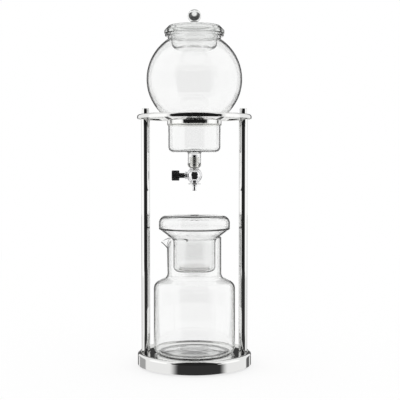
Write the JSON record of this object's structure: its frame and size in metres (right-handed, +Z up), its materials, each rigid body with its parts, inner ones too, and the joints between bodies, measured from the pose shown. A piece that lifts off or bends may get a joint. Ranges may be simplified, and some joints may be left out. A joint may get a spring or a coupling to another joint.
{
  "type": "cold drip coffee tower",
  "caption": "Glass water globe with a needle drip valve in a steel ring on rods, above a glass carafe that carries a lidded glass coffee chamber.",
  "frame": {"origin": "centre of the base, on the surface that the feet stand on", "axes": "+Z up along the axis of the glassware, +X to the right with the valve knob and the spout towards -X, -Y to the front"},
  "size_m": [0.16, 0.16, 0.4981],
  "materials": {
    "polished_steel": "mirror-polished stainless steel sheet",
    "rod_steel": "polished stainless steel rod",
    "valve_chrome": "chromed brass",
    "plate_iron": "black painted iron plate",
    "foot_rubber": "black rubber",
    "screw_steel": "plain stainless steel",
    "clear_silicone": "translucent silicone rubber",
    "seal_plastic": "white sealing plastic",
    "knob_plastic": "black moulded plastic",
    "clear_glass": "clear borosilicate glass",
    "filter_ceramic": "white porous ceramic"
  },
  "bodies": {
    "stand": {"base_shell": "polished_steel", "ballast_plate": "plate_iron", "rubber_feet": "foot_rubber", "plate_screws": "screw_steel", "rod_screws": "screw_steel", "rod_washers": "screw_steel", "left_rod": "rod_steel", "right_rod": "rod_steel", "left_finial_nut": "rod_steel", "right_finial_nut": "rod_steel", "top_ring": "polished_steel", "collar_gasket": "clear_silicone"},
    "reservoir": {"water_globe": "clear_glass", "silicone_stopper": "clear_silicone", "valve_body": "valve_chrome", "gland_packing": "seal_plastic", "packing_nut": "valve_chrome", "nozzle_seal": "seal_plastic", "nozzle": "valve_chrome"},
    "needle": {"needle_stem": "valve_chrome"},
    "knob": {"valve_knob": "knob_plastic", "knob_set_screw": "screw_steel"},
    "globe_lid": {"reservoir_lid": "clear_glass"},
    "carafe_body": {"carafe": "clear_glass"},
    "chamber": {"coffee_chamber": "clear_glass", "ceramic_filter": "filter_ceramic", "filter_gasket": "clear_silicone"},
    "chamber_cover": {"chamber_lid": "clear_glass"}
  },
  "joints": [
    {"name": "globe_lift", "type": "slide", "parent": "stand", "child": "reservoir", "axis": [0, 0, 1], "range_m": [0, 0.115]},
    {"name": "needle_travel", "type": "slide", "parent": "reservoir", "child": "needle", "axis": [-1, 0, 0], "range_m": [0, 0.002]},
    {"name": "knob_turn", "type": "hinge", "parent": "needle", "child": "knob", "pos_m": [-0.0265, 0, 0.2667], "axis": [-1, 0, 0], "range_deg": [0, 720]},
    {"name": "globe_lid_lift", "type": "slide", "parent": "reservoir", "child": "globe_lid", "axis": [0, 0, 1], "range_m": [0, 0.06]},
    {"name": "carafe_draw", "type": "slide", "parent": "stand", "child": "carafe_body", "axis": [0, -0.9903, 0.1392], "range_m": [0, 0.2]},
    {"name": "chamber_lift", "type": "slide", "parent": "carafe_body", "child": "chamber", "axis": [0, 0, 1], "range_m": [0, 0.016]},
    {"name": "chamber_cover_lift", "type": "slide", "parent": "chamber", "child": "chamber_cover", "axis": [0, 0, 1], "range_m": [0, 0.01]}
  ],
  "couplings": [
    {"joint": "knob_turn", "follows": "needle_travel", "rad_per_m": 6283.2}
  ]
}
